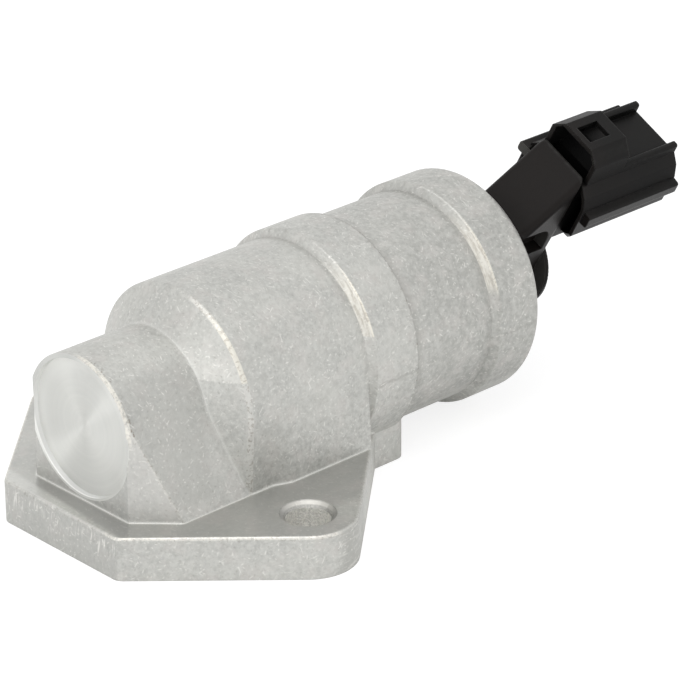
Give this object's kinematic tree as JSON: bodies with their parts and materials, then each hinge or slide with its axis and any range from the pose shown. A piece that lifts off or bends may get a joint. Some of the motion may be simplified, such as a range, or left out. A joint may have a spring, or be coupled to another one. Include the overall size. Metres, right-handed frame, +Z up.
{
  "type": "idle air control valve",
  "caption": "Die-cast idle air control valve: bolted flange, stepped barrel with a solenoid and a sprung poppet inside, and a moulded wiring socket on an angled neck.",
  "frame": {"origin": "on the mounting face, midway between the flange's bolt holes", "axes": "+X along the barrel towards the wiring socket, +Z up from the mounting face"},
  "size_m": [0.117, 0.0678, 0.0439],
  "materials": {
    "cast_aluminium": "tumbled die casting",
    "black_plastic": "moulded, glass filled",
    "brass": "turned",
    "machined_steel": "turned, zinc plated",
    "turned_aluminium": "turned",
    "spring_steel": "drawn",
    "black_rubber": "moulded",
    "natural_nylon": "moulded",
    "copper_wire": "enamelled wire",
    "tinned_brass": "tinned"
  },
  "bodies": {
    "body": {"valve_body": "cast_aluminium", "valve_seat": "brass", "front_bush": "brass", "rear_bush": "brass", "return_spring": "spring_steel", "front_pole_plate": "machined_steel", "chamber_o_ring": "black_rubber", "guide_tube": "brass", "stop_shim": "brass", "fixed_core": "machined_steel", "coil_bobbin": "natural_nylon", "coil_winding": "copper_wire", "yoke_tube": "machined_steel", "rear_pole_plate": "machined_steel", "spring_washer": "spring_steel", "cap_o_ring": "black_rubber", "connector_cap": "black_plastic", "left_terminal": "tinned_brass", "right_terminal": "tinned_brass"},
    "valve": {"valve_rod": "machined_steel", "valve_head": "turned_aluminium", "head_clip": "spring_steel", "plunger": "machined_steel"}
  },
  "joints": [
    {"name": "valve_stroke", "type": "slide", "parent": "body", "child": "valve", "axis": [1, 0, 0], "range_m": [0, 0.004], "stiffness_N_per_m": 800, "springref_m": -0.006, "deforming": ["return_spring"]}
  ]
}
